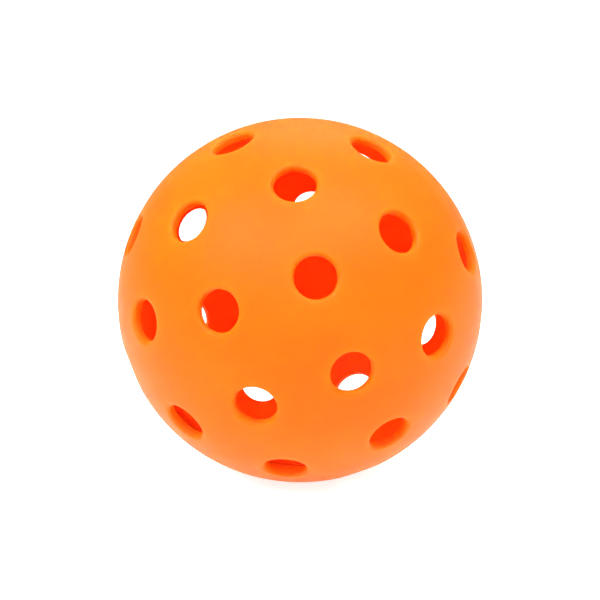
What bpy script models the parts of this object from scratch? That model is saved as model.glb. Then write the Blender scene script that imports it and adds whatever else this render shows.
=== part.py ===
"""Perforated court ball: two moulded half shells joined by a ring of weld melt.

Metres, +Z up, origin at the ball's centre. The two poles lie on the Y axis, the front one towards
-Y, so the weld seam runs round the ball in the XZ plane.
"""

from math import asin, cos, radians, sin, sqrt

import bmesh
import bpy
from mathutils import Matrix

# Ball
OUTER_RADIUS = 0.0370
WALL = 0.00175
INNER_RADIUS = OUTER_RADIUS - WALL

# Holes: rings counted from the pole, as (angle from the pole, holes, turn in hole pitches)
HOLE_RADIUS = 0.0041
HOLE_CHAMFER = 0.0005
HOLE_RINGS = (
    (radians(22.0), 4, 0.0),
    (radians(50.0), 8, 0.5),
    (radians(76.2), 8, 0.0),
)

# Turn of each half about the poles' axis, from +X towards +Z. The rear half is welded on about
# half a hole pitch round from the front one, so that the two rings at the seam are staggered.
FRONT_TURN = radians(65.6)
STAGGER = radians(23.7)

# Weld: the rims stop short of the seam, a web of melt fills the joint and beads up inside
CLEARANCE = 0.0003
WEB_HALF_THICKNESS = 0.0002
RIM_OFFSET = WEB_HALF_THICKNESS + CLEARANCE
BEAD_HALF_WIDTH = 0.0009
BEAD_HEIGHT = 0.0007
BEAD_OUTER_RADIUS = INNER_RADIUS - CLEARANCE
BEAD_CORNER = 0.0003

# Fineness of the turned solids
SHELL_STEPS = 48
ARC_POINTS = 10
WELD_STEPS = 72
HOLE_STEPS = 20
PLUG_REACH = 0.0014

ORANGE = (1.0, 0.30, 0.035)
WELD_ORANGE = (0.95, 0.22, 0.02)


def new_collection(name):
    collection = bpy.data.collections.new(name)
    bpy.context.scene.collection.children.link(collection)
    return collection


def plastic(name, colour, roughness):
    material = bpy.data.materials.new(name)
    material.use_nodes = True
    shader = material.node_tree.nodes["Principled BSDF"]
    shader.inputs["Base Color"].default_value = (*colour, 1.0)
    shader.inputs["Roughness"].default_value = roughness
    shader.inputs["Metallic"].default_value = 0.0
    return material


def profile_mesh(name, points, closed):
    """Edges through (radius, height) points in the XZ plane."""
    bm = bmesh.new()
    verts = [bm.verts.new((radius, 0.0, height)) for radius, height in points]
    pairs = list(zip(verts, verts[1:]))
    if closed:
        pairs.append((verts[-1], verts[0]))
    for pair in pairs:
        bm.edges.new(pair)
    mesh = bpy.data.meshes.new(name)
    bm.to_mesh(mesh)
    bm.free()
    return mesh


def turned(name, mesh, steps, collection):
    """An object whose profile is screwed once round its own Z axis."""
    obj = bpy.data.objects.new(name, mesh)
    collection.objects.link(obj)
    screw = obj.modifiers.new("turn", "SCREW")
    screw.steps = steps
    screw.render_steps = steps
    screw.use_merge_vertices = True
    screw.merge_threshold = 1e-6
    screw.use_smooth_shade = True
    return obj


def arc(radius, start, end, count):
    """Points on a circle about the origin, by angle from the pole."""
    angles = [start + (end - start) * i / count for i in range(count + 1)]
    return [(radius * sin(a), radius * cos(a)) for a in angles]


def shell_profile():
    """Outer side from the pole down to the rim, then the inner side back up."""
    outer_rim = radians(90) - asin(RIM_OFFSET / OUTER_RADIUS)
    inner_rim = radians(90) - asin(RIM_OFFSET / INNER_RADIUS)
    outer = arc(OUTER_RADIUS, 0.0, outer_rim, ARC_POINTS)
    inner = arc(INNER_RADIUS, inner_rim, 0.0, ARC_POINTS)
    return outer + inner


def plug_profile():
    """A core pin that flares at the outer face, which leaves a chamfered hole."""
    edge = HOLE_RADIUS + HOLE_CHAMFER
    edge_height = sqrt(OUTER_RADIUS**2 - edge**2)
    top = OUTER_RADIUS + PLUG_REACH
    bottom = sqrt(INNER_RADIUS**2 - HOLE_RADIUS**2) - PLUG_REACH
    return [
        (0.0, top),
        (edge + top - edge_height, top),
        (HOLE_RADIUS, edge_height - HOLE_CHAMFER),
        (HOLE_RADIUS, bottom),
        (0.0, bottom),
    ]


def weld_profile():
    """The web between the rims, and the rounded bead that it swells into inside the ball."""
    web, bead, corner = WEB_HALF_THICKNESS, BEAD_HALF_WIDTH, BEAD_CORNER
    web_outer = sqrt(OUTER_RADIUS**2 - web**2)
    bead_inner = BEAD_OUTER_RADIUS - BEAD_HEIGHT
    upper = [
        (bead_inner, bead - 2 * corner),
        (bead_inner + corner, bead - corner / 2),
        (BEAD_OUTER_RADIUS - corner, bead),
        (BEAD_OUTER_RADIUS, bead - corner),
        (BEAD_OUTER_RADIUS, web),
        (web_outer, web),
    ]
    return upper + [(radius, -height) for radius, height in reversed(upper)]


def hole_frames():
    """A turn to each hole of one half, from the pole to the hole's own axis."""
    for angle, count, offset in HOLE_RINGS:
        for i in range(count):
            around = Matrix.Rotation(radians(360) * (i + offset) / count, 4, "Z")
            yield around @ Matrix.Rotation(angle, 4, "Y")


def half_shell(name, frame, profile, plug, parts, material):
    """One moulding: the turned shell, less a core pin at each hole."""
    shell = turned(name, profile, SHELL_STEPS, parts)
    shell.matrix_world = frame
    shell.data.materials.append(material)
    cutters = new_collection(name + "_cutters")
    for i, hole in enumerate(hole_frames()):
        pin = turned(f"{name}_pin_{i}", plug, HOLE_STEPS, cutters)
        pin.matrix_world = frame @ hole
        pin.hide_render = True
        pin.display_type = "WIRE"
    cut = shell.modifiers.new("holes", "BOOLEAN")
    cut.operation = "DIFFERENCE"
    cut.operand_type = "COLLECTION"
    cut.collection = cutters
    cut.solver = "EXACT"
    return shell


def weld_bead(frame, parts, material):
    mesh = profile_mesh("weld_bead", weld_profile(), closed=True)
    bead = turned("weld_bead", mesh, WELD_STEPS, parts)
    bead.matrix_world = frame
    bead.data.materials.append(material)
    return bead


def main():
    for obj in list(bpy.data.objects):
        bpy.data.objects.remove(obj, do_unlink=True)
    parts = new_collection("court_ball")
    shell_plastic = plastic("shell_plastic", ORANGE, 0.5)
    weld_plastic = plastic("weld_plastic", WELD_ORANGE, 0.45)
    plug = profile_mesh("core_pin", plug_profile(), closed=False)
    front = Matrix.Rotation(radians(90), 4, "X") @ Matrix.Rotation(FRONT_TURN, 4, "Z")
    rear_turn = -(FRONT_TURN + STAGGER)
    rear = Matrix.Rotation(radians(-90), 4, "X") @ Matrix.Rotation(rear_turn, 4, "Z")
    for name, frame in (("front_half_shell", front), ("rear_half_shell", rear)):
        profile = profile_mesh(name, shell_profile(), closed=False)
        half_shell(name, frame, profile, plug, parts, shell_plastic)
    weld_bead(Matrix.Rotation(radians(90), 4, "X"), parts, weld_plastic)


main()
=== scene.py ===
from math import asin, cos, pi, radians, sin, sqrt, tau

import bmesh
import bpy
from mathutils import Matrix, Vector, noise
from mathutils.geometry import delaunay_2d_cdt


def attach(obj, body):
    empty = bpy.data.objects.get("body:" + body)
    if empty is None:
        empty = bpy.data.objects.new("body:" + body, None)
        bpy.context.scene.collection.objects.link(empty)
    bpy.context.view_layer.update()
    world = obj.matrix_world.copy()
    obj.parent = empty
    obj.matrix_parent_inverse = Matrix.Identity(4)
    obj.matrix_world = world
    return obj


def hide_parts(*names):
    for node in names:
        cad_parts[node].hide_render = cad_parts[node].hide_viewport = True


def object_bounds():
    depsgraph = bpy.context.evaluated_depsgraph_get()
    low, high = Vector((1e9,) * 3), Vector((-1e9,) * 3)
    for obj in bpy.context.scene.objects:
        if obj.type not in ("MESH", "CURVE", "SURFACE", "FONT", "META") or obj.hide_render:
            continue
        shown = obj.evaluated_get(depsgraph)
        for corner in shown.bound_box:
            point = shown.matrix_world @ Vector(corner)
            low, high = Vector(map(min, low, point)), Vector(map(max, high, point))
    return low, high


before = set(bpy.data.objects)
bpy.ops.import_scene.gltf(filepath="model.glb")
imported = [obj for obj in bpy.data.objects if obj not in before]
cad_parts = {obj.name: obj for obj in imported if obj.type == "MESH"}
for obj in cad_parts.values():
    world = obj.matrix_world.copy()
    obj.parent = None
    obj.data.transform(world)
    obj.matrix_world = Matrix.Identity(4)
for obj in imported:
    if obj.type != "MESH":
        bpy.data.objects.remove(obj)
cad_low, cad_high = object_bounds()

# The ball, from the frame
RADIUS = (cad_high.y - cad_low.y) / 2
WALL = 0.0473 * RADIUS
INNER_RADIUS = RADIUS - WALL
FLOOR = cad_low.z

# Holes: rings counted from the pole, as (angle from the pole, holes, turn in hole pitches)
HOLE_RADIUS = 0.0041
OUTER_FILLET = 0.00075
INNER_FILLET = 0.00025
HOLE_RINGS = (
    (radians(22.0), 4, 0.0),
    (radians(50.0), 8, 0.5),
    (radians(76.2), 8, 0.0),
)

# Turn of each half about the poles' axis, from +X towards +Z
FRONT_TURN = radians(65.6)
STAGGER = radians(23.7)

# Weld: a web between the rims, a faint crown outside and a double-rolled bead inside
RIM_OFFSET = 0.00022
WEB_HALF_THICKNESS = 0.00020
CROWN_HALF_WIDTH = 0.00036
CROWN_HEIGHT = 0.00003
CROWN_SINK = 0.00003
WEB_SINK = 3 * CROWN_SINK
BEAD_HALF_WIDTH = 0.00085
BEAD_HEIGHT = 0.0006
BEAD_SADDLE = 0.62

# How the bead's height varies round the ring: a slow wander and a quicker ripple, as shares of it
BEAD_WANDER = 0.16
BEAD_RIPPLE = 0.4 * BEAD_WANDER
WANDER_PACE = 9
RIPPLE_PACE = 40

# Mesh fineness
POINT_SPACING = 0.0014
HOLE_SIDES = 60
RIM_SIDES = 300
WELD_SIDES = 480
FILLET_STEPS = 8
INNER_FILLET_STEPS = 4
WALL_STEPS = 3
CROWN_STEPS = 8
ROLL_STEPS = 18
SHELL_SHARP = radians(40)
WELD_SHARP = radians(35)

# In point spacings: the rings of points round each hole and at the rim, and how far the evenly
# spread points keep off them
HOLE_MARGINS = (0.35, 0.9, 1.7)
RIM_MARGIN = 0.5
HOLE_CLEAR = 0.7
RIM_CLEAR = 1.2

# Camera
AZIMUTH = radians(4.61)
ELEVATION = radians(13.41)
CAMERA_DISTANCE = 9.72 * RADIUS
SENSOR = 36.0
LENS = 105.8

# Colours: the outside's two shades, a hole's wall, the inner face's painted bounce light and the
# weld. The lighter shade is also painted round the holes' edges as painted light
ORANGE = (1.0, 0.080, 0.0005)
AMBER = (1.0, 0.116, 0.0018)
WALL_ORANGE = (1.0, 0.086, 0.0006)
# Painted bounce light: the inner face's tone stands in for the light bouncing round inside the
# ball
PAINTED_BOUNCE_ORANGE = (1.0, 0.120, 0.0003)
WELD_ORANGE = (1.0, 0.080, 0.001)
CLOUDS = 0.35
CLOUD_SIZE = 0.012
# Painted light round each hole: how far towards the lighter shade the edge is painted, for the
# light that the rounded edge catches, and how wide that lit ring is
LIP_PAINTED_LIGHT = 0.3
LIP_LIGHT_WIDTH = 0.0012
RIPPLES = 0.5
RIPPLE_SIZE = 0.0018
# Depths in the wall over which the outside's colour goes over to the inner face's painted bounce
# light
SKIN_TOP = RADIUS - 0.0003
SKIN_BOTTOM = INNER_RADIUS + 0.0001

# Plastic: gloss, how far light spreads in it, and the fine unevenness of its surface
IOR = 1.5
SPECULAR = 0.072
SCATTER_COLOUR = (1.0, 0.22, 0.05)
SHELL_SCATTER = 0.0035
WELD_SCATTER = 0.0004
ROUGHNESS = 0.40
PATCH_SIZE = 0.0045
PATCH_ROUGHNESS = 0.08
GRAIN_SIZE = 0.0005
GRAIN_ROUGHNESS = 0.06
GRAIN_DEPTH = 0.000012
FLOW_SIZE = 0.006
FLOW_DEPTH = 0.00006

# Noise values between which a material's patches go from none to full
PATCHES_FROM = 0.3
PATCHES_TO = 0.7

# Studio: softboxes as (name, azimuth, elevation, watts)
SOFTBOXES = (
    ("overhead", 45, 64, 7.3),
    ("left", -48, 46, 10.6),
    ("right", 70, 46, 3.8),
    ("front", 0, 40, 5.6),
    ("rear", 180, 50, 1.9),
)
SOFTBOX_DISTANCE = 0.85
SOFTBOX_SIZE = 0.6
SKY = 0.44
HORIZON = 1.0
HORIZON_HEIGHT = 0.06

# Floor: glows under the ball, where it would be in shadow, and far off, where the lights are weak
FLOOR_SIZE = 6.0
FLOOR_MOTTLE = 0.15
FLOOR_PALE = (0.71, 0.71, 0.71)
FLOOR_PALER = (0.73, 0.73, 0.73)
FLOOR_GLOW = 0.35
SPOT_GLOW = 0.8
SPOT_INNER = 0.04
SPOT_OUTER = 0.14
FAR_GLOW = 0.7
FAR_INNER = 0.5
FAR_OUTER = 1.4


# Geometry ---------------------------------------------------------------------------------------


def hole_frames():
    """A turn to each hole of one half, from the pole at +Z to the hole's own axis."""
    frames = []
    for angle, count, offset in HOLE_RINGS:
        for i in range(count):
            around = Matrix.Rotation(tau * (i + offset) / count, 3, "Z")
            frames.append(around @ Matrix.Rotation(angle, 3, "Y"))
    return frames


def ring(turn, angle, sides, half_step=False):
    """Unit vectors at one angle from the Z axis of a turn."""
    start = pi / sides if half_step else 0.0
    around = [start + tau * i / sides for i in range(sides)]
    return [turn @ Vector((sin(angle) * cos(t), sin(angle) * sin(t), cos(angle))) for t in around]


def fillet_centre(radius, fillet):
    """Where a fillet's circle stands, as (distance from the hole's axis, height). The fillet is
    below 0 on the inner sphere."""
    out = HOLE_RADIUS + abs(fillet)
    return out, sqrt((radius - fillet) ** 2 - out**2)


def fillet_angle(radius, fillet):
    """Angle from the hole's axis at which the fillet leaves the sphere."""
    return asin(fillet_centre(radius, fillet)[0] / (radius - fillet))


def fillet_points(radius, fillet, steps):
    """The fillet from the sphere to the hole's wall, as (distance from the axis, height)."""
    out, height = fillet_centre(radius, fillet)
    side = 1 if fillet > 0 else -1
    start = side * pi / 2 - fillet_angle(radius, fillet)
    points = []
    for i in range(steps + 1):
        a = start + (side * pi - start) * i / steps
        points.append((out + abs(fillet) * cos(a), height + abs(fillet) * sin(a)))
    return points


def hole_profile():
    """What lies between the outer and the inner sphere down one side of a hole."""
    outer = fillet_points(RADIUS, OUTER_FILLET, FILLET_STEPS)
    inner = fillet_points(INNER_RADIUS, -INNER_FILLET, INNER_FILLET_STEPS)
    top = outer[-1][1]
    bottom = inner[-1][1]
    drops = [top + (bottom - top) * (i + 1) / WALL_STEPS for i in range(WALL_STEPS)]
    wall = [(HOLE_RADIUS, height) for height in drops]
    return outer[1:] + wall + inner[-2:0:-1]


def flattened(direction):
    """Stereographic view of the unit sphere from the far pole, in which circles stay circles."""
    return Vector((direction.x, direction.y)) / (1 + direction.z)


def spread(holes, hole_reach, rim_reach, step):
    """Evenly spread unit vectors on the half, clear of the holes and of the rim."""
    golden = pi * (3 - sqrt(5))
    total = int(4 * pi / (step * step))
    found = []
    for i in range(total // 2):
        z = 1 - 2 * (i + 0.5) / total
        across = sqrt(1 - z * z)
        d = Vector((across * cos(golden * i), across * sin(golden * i), z))
        if z > cos(rim_reach) and all(d.dot(hole.col[2]) < cos(hole_reach) for hole in holes):
            found.append(d)
    return found


def skin(holes):
    """The half's surface without its holes: unit vectors and triangles. Each hole's own points
    come first, hole by hole, and then the rim's."""
    step = POINT_SPACING / RADIUS
    edge = fillet_angle(RADIUS, OUTER_FILLET)
    rim = pi / 2 - asin(RIM_OFFSET / RADIUS)
    points = [d for hole in holes for d in ring(hole, edge, HOLE_SIDES)]
    edge_count = len(points)
    points += ring(Matrix.Identity(3), rim, RIM_SIDES)
    points += ring(Matrix.Identity(3), rim - RIM_MARGIN * step, RIM_SIDES, half_step=True)
    for hole in holes:
        for n, margin in enumerate(HOLE_MARGINS):
            points += ring(hole, edge + margin * step, HOLE_SIDES, half_step=n % 2 == 0)
    hole_reach = edge + (HOLE_MARGINS[-1] + HOLE_CLEAR) * step
    points += spread(holes, hole_reach, rim - RIM_CLEAR * step, step)
    flat = [flattened(d) for d in points]
    _, _, triangles, sources, _, _ = delaunay_2d_cdt(flat, [], [], 0, 1e-9)
    kept = []
    for triangle in triangles:
        corners = [sources[v][0] for v in triangle]
        if max(corners) < edge_count and len({c // HOLE_SIDES for c in corners}) == 1:
            continue
        kept.append(corners)
    return points, kept, edge_count


def bridge(bm, loops):
    """Quads between each closed loop and the next."""
    for one, other in zip(loops, loops[1:]):
        for i in range(len(one)):
            j = (i + 1) % len(one)
            bm.faces.new((one[i], other[i], other[j], one[j]))


def turned_loop(bm, turn, out, height, sides):
    """A closed loop of points round the Z axis of a turn."""
    around = [tau * i / sides for i in range(sides)]
    return [bm.verts.new(turn @ Vector((out * cos(t), out * sin(t), height))) for t in around]


def finished(bm, name, sharp):
    bmesh.ops.recalc_face_normals(bm, faces=bm.faces)
    mesh = bpy.data.meshes.new(name)
    bm.to_mesh(mesh)
    bm.free()
    mesh.shade_smooth()
    mesh.set_sharp_from_angle(angle=sharp)
    return mesh


def half_mesh(name, place):
    """A closed half shell with rounded holes, its pole at +Z before place turns it."""
    holes = hole_frames()
    points, triangles, edge_count = skin(holes)
    inside = list(points)
    inner_edge = fillet_angle(INNER_RADIUS, -INNER_FILLET)
    inside[:edge_count] = [d for hole in holes for d in ring(hole, inner_edge, HOLE_SIDES)]
    rim = pi / 2 - asin(RIM_OFFSET / INNER_RADIUS)
    inside[edge_count : edge_count + RIM_SIDES] = ring(Matrix.Identity(3), rim, RIM_SIDES)

    bm = bmesh.new()
    edge_light = bm.verts.layers.float.new("hole_edge_light")
    wall = bm.verts.layers.float.new("hole_wall")
    outer = [bm.verts.new(place @ (d * RADIUS)) for d in points]
    inner = [bm.verts.new(place @ (d * INNER_RADIUS)) for d in inside]
    for a, b, c in triangles:
        bm.faces.new((outer[a], outer[b], outer[c]))
        bm.faces.new((inner[c], inner[b], inner[a]))
    # Mask for the painted light round each hole's edge, fading out over the lit ring's width
    edge_angle = fillet_angle(RADIUS, OUTER_FILLET)
    for vert, d in zip(outer, points):
        nearest = min(d.angle(hole.col[2]) for hole in holes)
        vert[edge_light] = max(0.0, 1.0 - (nearest - edge_angle) * RADIUS / LIP_LIGHT_WIDTH)
    for h, hole in enumerate(holes):
        own = slice(h * HOLE_SIDES, (h + 1) * HOLE_SIDES)
        loops = [outer[own]]
        for n, (out, height) in enumerate(hole_profile(), 1):
            loop = turned_loop(bm, place @ hole, out, height, HOLE_SIDES)
            for vert in loop:
                vert[wall] = min(1.0, n / FILLET_STEPS)
                # Down the rounding the painted light fades into the wall's colour
                vert[edge_light] = 1.0 - vert[wall]
            loops.append(loop)
        bridge(bm, [*loops, inner[own]])
    own = slice(edge_count, edge_count + RIM_SIDES)
    bridge(bm, [inner[own], outer[own]])
    return finished(bm, name, SHELL_SHARP)


def bead_outline(swell):
    """Round the weld's cross-section, as (distance from the poles' axis, height over the seam)."""
    crown = []
    for i in range(CROWN_STEPS + 1):
        s = 1 - 2 * i / CROWN_STEPS
        rise = (CROWN_HEIGHT + CROWN_SINK) * (1 - s * s)
        crown.append((RADIUS - CROWN_SINK + rise, CROWN_HALF_WIDTH * s))
    roll = []
    for i in range(ROLL_STEPS + 1):
        h = BEAD_HALF_WIDTH * (2 * i / ROLL_STEPS - 1)
        s = abs(h) / BEAD_HALF_WIDTH
        lobe = sqrt(max(0.0, 1 - (2 * s - 1) ** 2))
        saddle = BEAD_SADDLE * sqrt(1 - s)
        depth = BEAD_HEIGHT * swell * max(lobe, saddle)
        roll.append((INNER_RADIUS + CROWN_SINK - depth, h))
    web = WEB_HALF_THICKNESS
    low_side = [(RADIUS - WEB_SINK, -web), (INNER_RADIUS + WEB_SINK, -web)]
    high_side = [(r, -h) for r, h in reversed(low_side)]
    return crown + low_side + roll + high_side


def weld_mesh(name):
    """The ring of melt, whose inner bead swells and thins a little on its way round."""
    place = Matrix.Rotation(radians(90), 3, "X")
    bm = bmesh.new()
    sections = []
    for i in range(WELD_SIDES):
        t = tau * i / WELD_SIDES
        direction = Vector((cos(t), sin(t), 0))
        wander = BEAD_WANDER * noise.noise(direction * WANDER_PACE)
        ripple = BEAD_RIPPLE * noise.noise(direction * RIPPLE_PACE)
        section = []
        for r, h in bead_outline(1 + wander + ripple):
            section.append(bm.verts.new(place @ Vector((r * cos(t), r * sin(t), h))))
        sections.append(section)
    bridge(bm, [*sections, sections[0]])
    return finished(bm, name, WELD_SHARP)


# Materials --------------------------------------------------------------------------------------


class Nodes:
    """Short ways to add and join a material's nodes."""

    def __init__(self, name):
        self.material = bpy.data.materials.new(name)
        self.material.use_nodes = True
        self.tree = self.material.node_tree
        self.shader = self.tree.nodes["Principled BSDF"]
        self.place = self.add("ShaderNodeTexCoord").outputs["Object"]

    def add(self, kind, **settings):
        node = self.tree.nodes.new(kind)
        for key, value in settings.items():
            setattr(node, key, value)
        return node

    def join(self, source, target):
        self.tree.links.new(source, target)

    def noise(self, size, detail):
        """Noise whose features are about this many metres across, from 0 to 1."""
        node = self.add("ShaderNodeTexNoise")
        node.inputs["Scale"].default_value = 1 / size
        node.inputs["Detail"].default_value = detail
        self.join(self.place, node.inputs["Vector"])
        return node.outputs["Fac"]

    def ranged(self, value, low, high, to_low=0.0, to_high=1.0):
        node = self.add("ShaderNodeMapRange")
        for key, number in (
            ("From Min", low),
            ("From Max", high),
            ("To Min", to_low),
            ("To Max", to_high),
        ):
            node.inputs[key].default_value = number
        self.join(value, node.inputs["Value"])
        return node.outputs["Result"]

    def patches(self, size, detail, most=1.0):
        """Noise with more contrast, from 0 to the most."""
        return self.ranged(self.noise(size, detail), PATCHES_FROM, PATCHES_TO, 0.0, most)

    def maths(self, operation, one, other):
        """Two values put together. The second may be a number."""
        node = self.add("ShaderNodeMath", operation=operation)
        self.join(one, node.inputs[0])
        if isinstance(other, float):
            node.inputs[1].default_value = other
        else:
            self.join(other, node.inputs[1])
        return node.outputs["Value"]

    def mixed(self, share, one, other):
        """A colour between two, each a colour or another node's output."""
        node = self.add("ShaderNodeMix", data_type="RGBA")
        self.join(share, node.inputs["Factor"])
        for value, socket in ((one, node.inputs[6]), (other, node.inputs[7])):
            if isinstance(value, tuple):
                socket.default_value = (*value, 1.0)
            else:
                self.join(value, socket)
        return node.outputs[2]

    def bump(self, height, distance, before=None):
        node = self.add("ShaderNodeBump")
        node.inputs["Strength"].default_value = 1.0
        node.inputs["Distance"].default_value = distance
        self.join(height, node.inputs["Height"])
        if before is not None:
            self.join(before, node.inputs["Normal"])
        return node.outputs["Normal"]

    def from_centre(self):
        node = self.add("ShaderNodeVectorMath", operation="LENGTH")
        self.join(self.place, node.inputs[0])
        return node.outputs["Value"]


def plastic_finish(nodes, colour, scatter):
    """What every surface of the ball shares: satin polyethylene, into which light spreads."""
    shader = nodes.shader
    shader.inputs["Specular IOR Level"].default_value = SPECULAR
    shader.inputs["IOR"].default_value = IOR
    shader.inputs["Subsurface Weight"].default_value = 1.0
    shader.inputs["Subsurface Radius"].default_value = SCATTER_COLOUR
    shader.inputs["Subsurface Scale"].default_value = scatter
    nodes.join(colour, shader.inputs["Base Color"])
    grain = nodes.noise(GRAIN_SIZE, 2)
    grain_roughness = nodes.maths("MULTIPLY", grain, GRAIN_ROUGHNESS)
    uneven = nodes.maths("ADD", nodes.patches(PATCH_SIZE, 3, PATCH_ROUGHNESS), grain_roughness)
    nodes.join(nodes.maths("ADD", uneven, ROUGHNESS), shader.inputs["Roughness"])
    flow = nodes.bump(nodes.noise(FLOW_SIZE, 2), FLOW_DEPTH)
    nodes.join(nodes.bump(grain, GRAIN_DEPTH, flow), shader.inputs["Normal"])


def shell_plastic():
    nodes = Nodes("moulded_orange")
    clouds = nodes.patches(CLOUD_SIZE, 4)
    edge_light = nodes.add("ShaderNodeAttribute", attribute_name="hole_edge_light").outputs["Fac"]
    wall = nodes.add("ShaderNodeAttribute", attribute_name="hole_wall").outputs["Fac"]
    outside = nodes.mixed(nodes.maths("MULTIPLY", clouds, CLOUDS), ORANGE, AMBER)
    # Painted light: each hole's edge is painted lighter, towards the amber, for the light that the
    # rounded edge catches
    outside = nodes.mixed(nodes.maths("MULTIPLY", edge_light, LIP_PAINTED_LIGHT), outside, AMBER)
    # Painted bounce light: deeper in the wall the colour goes over to the inner face's tone, which
    # stands in for the light bouncing round inside the ball
    depth = nodes.ranged(nodes.from_centre(), SKIN_TOP, SKIN_BOTTOM)
    skin = nodes.mixed(depth, outside, PAINTED_BOUNCE_ORANGE)
    plastic_finish(nodes, nodes.mixed(wall, skin, WALL_ORANGE), SHELL_SCATTER)
    return nodes.material


def weld_plastic():
    nodes = Nodes("welded_orange")
    ripples = nodes.patches(RIPPLE_SIZE, 3)
    colour = nodes.mixed(nodes.maths("MULTIPLY", ripples, RIPPLES), WELD_ORANGE, WALL_ORANGE)
    plastic_finish(nodes, colour, WELD_SCATTER)
    return nodes.material


def floor_paint():
    nodes = Nodes("floor_white")
    nodes.shader.inputs["Specular IOR Level"].default_value = 0.0
    nodes.shader.inputs["Roughness"].default_value = 1.0
    shade = nodes.noise(FLOOR_MOTTLE, 2)
    nodes.join(nodes.mixed(shade, FLOOR_PALE, FLOOR_PALER), nodes.shader.inputs["Base Color"])
    nodes.shader.inputs["Emission Color"].default_value = (1, 1, 1, 1)
    spot = nodes.ranged(nodes.from_centre(), SPOT_INNER, SPOT_OUTER, SPOT_GLOW, FLOOR_GLOW)
    far = nodes.ranged(nodes.from_centre(), FAR_INNER, FAR_OUTER, 0.0, FAR_GLOW)
    nodes.join(nodes.maths("ADD", spot, far), nodes.shader.inputs["Emission Strength"])
    return nodes.material


# Pieces -----------------------------------------------------------------------------------------


def placed(name, data):
    obj = bpy.data.objects.new(name, data)
    bpy.context.scene.collection.objects.link(obj)
    return obj


def piece(name, mesh, material, node):
    mesh.materials.append(material)
    obj = placed(name, mesh)
    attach(obj, "root")
    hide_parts(node)


def make_ball():
    plastic = shell_plastic()
    front = Matrix.Rotation(radians(90), 3, "X") @ Matrix.Rotation(FRONT_TURN, 3, "Z")
    rear_turn = -(FRONT_TURN + STAGGER)
    rear = Matrix.Rotation(radians(-90), 3, "X") @ Matrix.Rotation(rear_turn, 3, "Z")
    for side, place in (("front", front), ("rear", rear)):
        node = f"{side}_half_shell"
        piece(f"{side}_half", half_mesh(f"{side}_half", place), plastic, node)
    piece("weld_ring", weld_mesh("weld_ring"), weld_plastic(), "weld_bead")


# Studio -----------------------------------------------------------------------------------------


def toward(azimuth, elevation):
    """A unit vector out from the ball, where azimuth 0 is the front pole's side."""
    flat = cos(elevation)
    return Vector((sin(azimuth) * flat, -cos(azimuth) * flat, sin(elevation)))


def make_camera():
    data = bpy.data.cameras.new("camera")
    data.sensor_width = SENSOR
    data.lens = LENS
    view = toward(AZIMUTH, ELEVATION)
    camera = placed("camera", data)
    camera.location = view * CAMERA_DISTANCE
    camera.rotation_euler = view.to_track_quat("Z", "Y").to_euler()
    bpy.context.scene.camera = camera


def make_floor():
    mesh = bpy.data.meshes.new("floor")
    bm = bmesh.new()
    bmesh.ops.create_grid(bm, x_segments=1, y_segments=1, size=FLOOR_SIZE)
    bm.to_mesh(mesh)
    bm.free()
    floor = placed("floor", mesh)
    floor.location = (0, 0, FLOOR)
    mesh.materials.append(floor_paint())


def soft_light(name, place, power):
    data = bpy.data.lights.new(name, "AREA")
    data.shape = "DISK"
    data.size = SOFTBOX_SIZE
    data.energy = power
    light = placed(name, data)
    light.location = place
    light.rotation_euler = place.to_track_quat("Z", "Y").to_euler()


def make_light():
    world = bpy.data.worlds.new("studio")
    world.use_nodes = True
    tree = world.node_tree
    background = tree.nodes["Background"]
    background.inputs["Color"].default_value = (1, 1, 1, 1)
    direction = tree.nodes.new("ShaderNodeTexCoord").outputs["Generated"]
    height = tree.nodes.new("ShaderNodeSeparateXYZ")
    tree.links.new(direction, height.inputs["Vector"])
    fade = tree.nodes.new("ShaderNodeMapRange")
    for key, number in (("From Max", HORIZON_HEIGHT), ("To Min", HORIZON), ("To Max", SKY)):
        fade.inputs[key].default_value = number
    tree.links.new(height.outputs["Z"], fade.inputs["Value"])
    tree.links.new(fade.outputs["Result"], background.inputs["Strength"])
    bpy.context.scene.world = world
    for name, azimuth, elevation, power in SOFTBOXES:
        soft_light(name, toward(radians(azimuth), radians(elevation)) * SOFTBOX_DISTANCE, power)
    bpy.context.scene.view_settings.view_transform = "Standard"


make_camera()
make_ball()
make_floor()
make_light()
